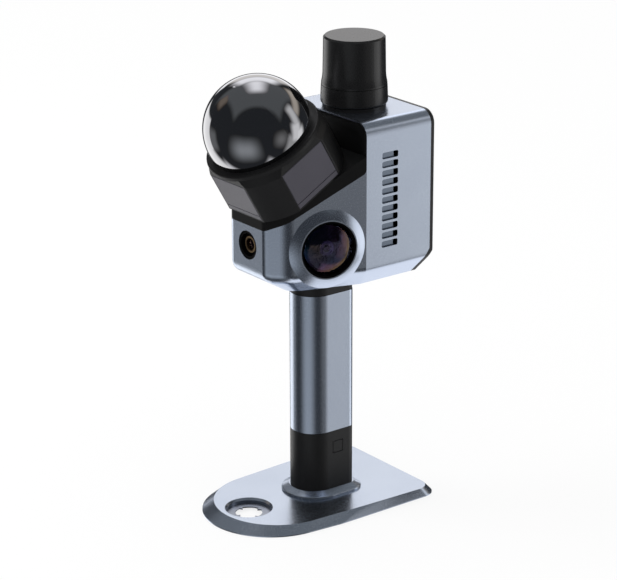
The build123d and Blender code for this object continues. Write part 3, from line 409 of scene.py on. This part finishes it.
MATERIALS = {
    # Aluminium, bead-blasted then anodised in a cool grey: even satin sheen with a very fine grit,
    # and a darker colour in the louvres, painted shade for their recesses
    "blasted_aluminium": grained(
        "blasted_aluminium", "#C2CCDD", "#C8D2E2", (0.22, 0.28), 0.3, 0.002,
        recess_shade="#808A99", Metallic=1.0,
    ),
    # Black PC-ABS with a spark-eroded mould texture: soft sheen, no mirror images
    "moulded_black": grained("moulded_black", "#121213", "#161617", (0.38, 0.5), 0.5, 0.01),
    # The same moulding, a shade lighter, on the antenna
    "antenna_black": grained("antenna_black", "#161617", "#1A1A1B", (0.26, 0.32), 0.4, 0.0015),
    # Aluminium, black anodised: dark, slightly warm, with a satin sheen
    "black_anodised": grained(
        "black_anodised", "#121213", "#161617", (0.45, 0.55), 0.5, 0.004, **{"Specular IOR Level": 0.3}
    ),
    # Black paint with a flat finish in the lidar's seat: swallows the studio's glow, and its colour,
    # darker than the moulded black, is painted shade for the seat behind the lidar
    "flat_black_painted_shade": grained(
        "flat_black_painted_shade", "#0B0B0C", "#101011", (0.5, 0.6), 0.5, 0.004, **{"Specular IOR Level": 0.2}
    ),
    # Dark lilac-grey film behind a smooth coat on the lidar's flanks
    "panel_film": grained("panel_film", "#3A3842", "#42404A", (0.4, 0.48), 0.6, 0.002),
    # Infrared-passing dome, a smoky half-mirror filter under a hard clear coat: dark, and mirror-smooth
    "filter_dome": grained(
        "filter_dome", "#96969A", "#9C9CA0", (0.02, 0.04), 4.0, 0.0005, Metallic=1.0,
        **{"Coat Weight": 1.0, "Coat IOR": 1.8, "Coat Roughness": 0.02},
    ),
    # Moulded rubber: matt, with a dry bloom
    "matt_rubber": grained("matt_rubber", "#161616", "#202020", (0.7, 0.85), 0.8, 0.02),
    # Machined steel: bright, with a fine even grain
    "machined_steel": grained(
        "machined_steel", "#A9ABAD", "#BFC1C3", (0.25, 0.4), 0.4, 0.005, Metallic=1.0
    ),
    # Gold-flashed brass: warm and bright
    "gilt_brass": grained("gilt_brass", "#C69A4A", "#D8AE5E", (0.22, 0.34), 0.4, 0.004, Metallic=1.0),
    # Bronze-coated lens ring: brown-gold, with a soft sheen
    "bronze": grained("bronze", "#8A7050", "#A08868", (0.25, 0.38), 0.4, 0.004, Metallic=1.0),
    # Grey anodised retaining ring inside the side cameras: dark and satin
    "grey_anodised": grained(
        "grey_anodised", "#3C3C42", "#48484E", (0.3, 0.42), 0.4, 0.002, Metallic=1.0
    ),
    # Circuit board under green solder resist: dark green, slightly glossy and mottled
    "solder_resist": grained("solder_resist", "#0F3B22", "#17502F", (0.3, 0.45), 1.2, 0.02, 6.0),
    # Steel battery cans in a blue shrink sleeve: smooth, with a plastic gloss
    "shrink_sleeve": grained("shrink_sleeve", "#1D4468", "#27557E", (0.3, 0.4), 0.8, 0.006),
    # Plain extruded aluminium: pale, with a dull sheen
    "mill_aluminium": grained(
        "mill_aluminium", "#B5B8BC", "#C6C9CC", (0.3, 0.45), 0.5, 0.008, Metallic=1.0
    ),
    # Frosted light guide: pale green and milky
    "frosted_guide": grained("frosted_guide", "#A8D8B4", "#BCE4C6", (0.45, 0.6), 0.4, 0.004),
    # First-surface mirror: bright and nearly free of grain
    "mirror_coat": grained("mirror_coat", "#DADCDD", "#E6E8E9", (0.03, 0.06), 4.0, 0.0005, Metallic=1.0),
    # Black matt paint inside a lens barrel: gives back almost no light
    "barrel_black": grained(
        "barrel_black", "#040405", "#070708", (0.5, 0.6), 0.5, 0.003, **{"Specular IOR Level": 0.05}
    ),
    # Etched steel sighting points: grey, with a dull sheen
    "etched_steel": grained(
        "etched_steel", "#9095A0", "#A0A5B0", (0.3, 0.42), 0.4, 0.004, Metallic=1.0
    ),
    # Optical glass under a violet-tinted anti-reflection film, polished
    "coated_front_glass": coated_glass("coated_front_glass", "#B4A8D8", (335.0, 286.0)),
    # The same glass deeper in the barrel, with a slightly thicker film
    "coated_inner_glass": coated_glass("coated_inner_glass", "#B4AADC", (340.0, 300.0)),
}


FINISHES = {
    "blasted_aluminium": ["base_plate", "handle_tube", "head_shell"],
    "moulded_black": [
        "battery_case", "battery_foot", "latch_button", "handle_neck", "record_button", "rear_cover",
        "contact_block", "fan_frame", "fan_rotor",
    ],
    "antenna_black": ["antenna_socket", "antenna_lock_ring", "antenna_base", "antenna_cap"],
    "black_anodised": ["lidar_base", "lidar_ring", "lidar_motor"],
    "flat_black_painted_shade": ["lidar_cradle"],
    "panel_film": ["lidar_panels"],
    "filter_dome": ["lidar_dome"],
    "matt_rubber": ["base_pad", "rear_seal", "power_lead", "port_flap"],
    "machined_steel": [
        "tripod_bush", "base_screws", "neck_screws", "rear_cover_screws", "lidar_screws",
        "lidar_bearing", "lidar_spindle", "board_screws", "usb_port", "flap_hinge_pin",
    ],
    "gilt_brass": ["contact_pins", "antenna_element"],
    "bronze": ["front_camera_ring"],
    "grey_anodised": ["right_camera_retainer", "left_camera_retainer"],
    "solder_resist": [
        "battery_contact_board", "record_switch", "right_camera_board", "left_camera_board",
        "front_camera_board", "main_board",
    ],
    "shrink_sleeve": ["battery_cells"],
    "mill_aluminium": ["heat_sink"],
    "frosted_guide": ["status_light"],
    "mirror_coat": ["lidar_mirror"],
    "barrel_black": ["right_camera_barrel", "left_camera_barrel", "front_camera_barrel"],
    "etched_steel": ["target_ring"],
    "coated_front_glass": ["right_camera_front_lens", "left_camera_front_lens", "front_camera_lens"],
    "coated_inner_glass": ["right_camera_inner_lens", "left_camera_inner_lens"],
}


def dress_nodes():
    """Gives every CAD node its finish."""
    for finish, names in FINISHES.items():
        for name in names:
            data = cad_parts[name].data
            data.materials.clear()
            data.materials.append(MATERIALS[finish])


set_camera()
set_world()
set_floor()
dress_nodes()
set_key_lamp()
